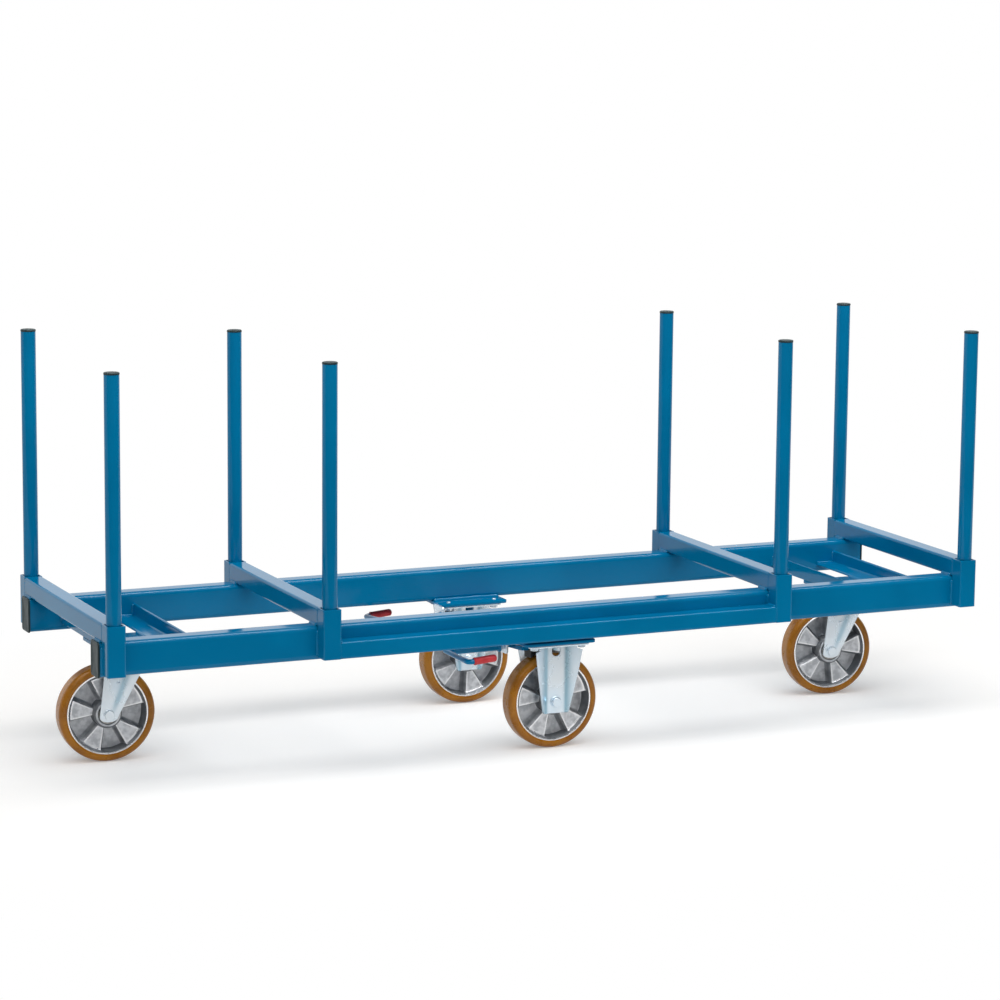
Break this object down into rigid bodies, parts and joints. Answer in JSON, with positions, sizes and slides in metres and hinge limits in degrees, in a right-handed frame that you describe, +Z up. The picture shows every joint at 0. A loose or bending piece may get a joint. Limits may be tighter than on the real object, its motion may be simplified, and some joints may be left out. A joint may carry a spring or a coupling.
{
  "type": "long material cart",
  "caption": "Long low cart for bar and board stock: welded box-section frame, plug-in round stakes along both sides, braked fixed casters at the middle and a swivel caster at each end.",
  "frame": {"origin": "on the floor below the middle of the cart", "axes": "+X along the cart towards the right end, +Y across it to the far side, +Z up"},
  "size_m": [2.5736, 0.77, 1.113],
  "materials": {
    "blue_paint": "glossy powder coat",
    "zinc_plate": "bright zinc plating",
    "polyurethane": "satin, amber",
    "die_cast": "as cast, machined edge",
    "bearing_steel": "ground steel",
    "grey_plastic": "fine grain",
    "red_plastic": "smooth moulded",
    "black_plastic": "matt moulded"
  },
  "bodies": {
    "frame": {"near_rail": "blue_paint", "far_rail": "blue_paint", "end_cross_bars": "blue_paint", "inner_cross_bars": "blue_paint", "near_stake_sockets": "blue_paint", "far_stake_sockets": "blue_paint", "near_side_bar": "blue_paint", "far_side_bar": "blue_paint", "rail_end_caps": "grey_plastic", "left_end_angles": "blue_paint", "right_end_angles": "blue_paint", "swivel_mount_plates": "blue_paint", "fixed_mount_plates": "blue_paint", "swivel_plates": "zinc_plate", "kingpins": "zinc_plate", "near_fixed_fork": "zinc_plate", "far_fixed_fork": "zinc_plate", "mounting_bolts": "zinc_plate", "fixed_axles": "zinc_plate", "brake_tubes": "blue_paint", "brake_brackets": "zinc_plate"},
    "near_post_1": {"near_stake_1": "blue_paint", "near_stake_cap_1": "grey_plastic"},
    "near_post_2": {"near_stake_2": "blue_paint", "near_stake_cap_2": "grey_plastic"},
    "near_post_3": {"near_stake_3": "blue_paint", "near_stake_cap_3": "grey_plastic"},
    "near_post_4": {"near_stake_4": "blue_paint", "near_stake_cap_4": "grey_plastic"},
    "far_post_1": {"far_stake_1": "blue_paint", "far_stake_cap_1": "grey_plastic"},
    "far_post_2": {"far_stake_2": "blue_paint", "far_stake_cap_2": "grey_plastic"},
    "far_post_3": {"far_stake_3": "blue_paint", "far_stake_cap_3": "grey_plastic"},
    "far_post_4": {"far_stake_4": "blue_paint", "far_stake_cap_4": "grey_plastic"},
    "left_swivel": {"left_swivel_fork": "zinc_plate", "left_swivel_axle": "zinc_plate"},
    "right_swivel": {"right_swivel_fork": "zinc_plate", "right_swivel_axle": "zinc_plate"},
    "left_wheel": {"left_wheel_tread": "polyurethane", "left_wheel_rim": "die_cast", "left_wheel_bearings": "bearing_steel"},
    "right_wheel": {"right_wheel_tread": "polyurethane", "right_wheel_rim": "die_cast", "right_wheel_bearings": "bearing_steel"},
    "near_wheel": {"near_wheel_tread": "polyurethane", "near_wheel_rim": "die_cast", "near_wheel_bearings": "bearing_steel"},
    "far_wheel": {"far_wheel_tread": "polyurethane", "far_wheel_rim": "die_cast", "far_wheel_bearings": "bearing_steel"},
    "near_brake": {"near_brake_crank": "blue_paint", "near_brake_grip": "red_plastic", "near_brake_shoe": "black_plastic"},
    "far_brake": {"far_brake_crank": "blue_paint", "far_brake_grip": "red_plastic", "far_brake_shoe": "black_plastic"}
  },
  "joints": [
    {"name": "near_stake_1_lift", "type": "slide", "parent": "frame", "child": "near_post_1", "axis": [0, 0, 1], "range_m": [0, 0.12]},
    {"name": "near_stake_2_lift", "type": "slide", "parent": "frame", "child": "near_post_2", "axis": [0, 0, 1], "range_m": [0, 0.12]},
    {"name": "near_stake_3_lift", "type": "slide", "parent": "frame", "child": "near_post_3", "axis": [0, 0, 1], "range_m": [0, 0.12]},
    {"name": "near_stake_4_lift", "type": "slide", "parent": "frame", "child": "near_post_4", "axis": [0, 0, 1], "range_m": [0, 0.12]},
    {"name": "far_stake_1_lift", "type": "slide", "parent": "frame", "child": "far_post_1", "axis": [0, 0, 1], "range_m": [-0.026, 0.094]},
    {"name": "far_stake_2_lift", "type": "slide", "parent": "frame", "child": "far_post_2", "axis": [0, 0, 1], "range_m": [0, 0.12]},
    {"name": "far_stake_3_lift", "type": "slide", "parent": "frame", "child": "far_post_3", "axis": [0, 0, 1], "range_m": [0, 0.12]},
    {"name": "far_stake_4_lift", "type": "slide", "parent": "frame", "child": "far_post_4", "axis": [0, 0, 1], "range_m": [0, 0.12]},
    {"name": "left_swivel_turn", "type": "hinge", "parent": "frame", "child": "left_swivel", "pos_m": [-1.088, 0, 0.285], "axis": [0, 0, 1], "continuous": true},
    {"name": "left_wheel_spin", "type": "hinge", "parent": "left_swivel", "child": "left_wheel", "pos_m": [-1.15783, 0.00488, 0.13], "axis": [0.0698, 0.9976, 0], "continuous": true},
    {"name": "right_swivel_turn", "type": "hinge", "parent": "frame", "child": "right_swivel", "pos_m": [1.088, 0, 0.285], "axis": [0, 0, 1], "continuous": true},
    {"name": "right_wheel_spin", "type": "hinge", "parent": "right_swivel", "child": "right_wheel", "pos_m": [1.01838, 0.00732, 0.13], "axis": [0.1045, 0.9945, 0], "continuous": true},
    {"name": "near_wheel_spin", "type": "hinge", "parent": "frame", "child": "near_wheel", "pos_m": [0, -0.291, 0.13], "axis": [0, 1, 0], "continuous": true},
    {"name": "near_brake_press", "type": "hinge", "parent": "frame", "child": "near_brake", "pos_m": [-0.18, -0.2, 0.267], "axis": [1, 0, 0], "range_deg": [0, 5]},
    {"name": "far_wheel_spin", "type": "hinge", "parent": "frame", "child": "far_wheel", "pos_m": [0, 0.291, 0.13], "axis": [0, 1, 0], "continuous": true},
    {"name": "far_brake_press", "type": "hinge", "parent": "frame", "child": "far_brake", "pos_m": [-0.18, 0.2, 0.267], "axis": [-1, 0, 0], "range_deg": [-5, 0]}
  ]
}
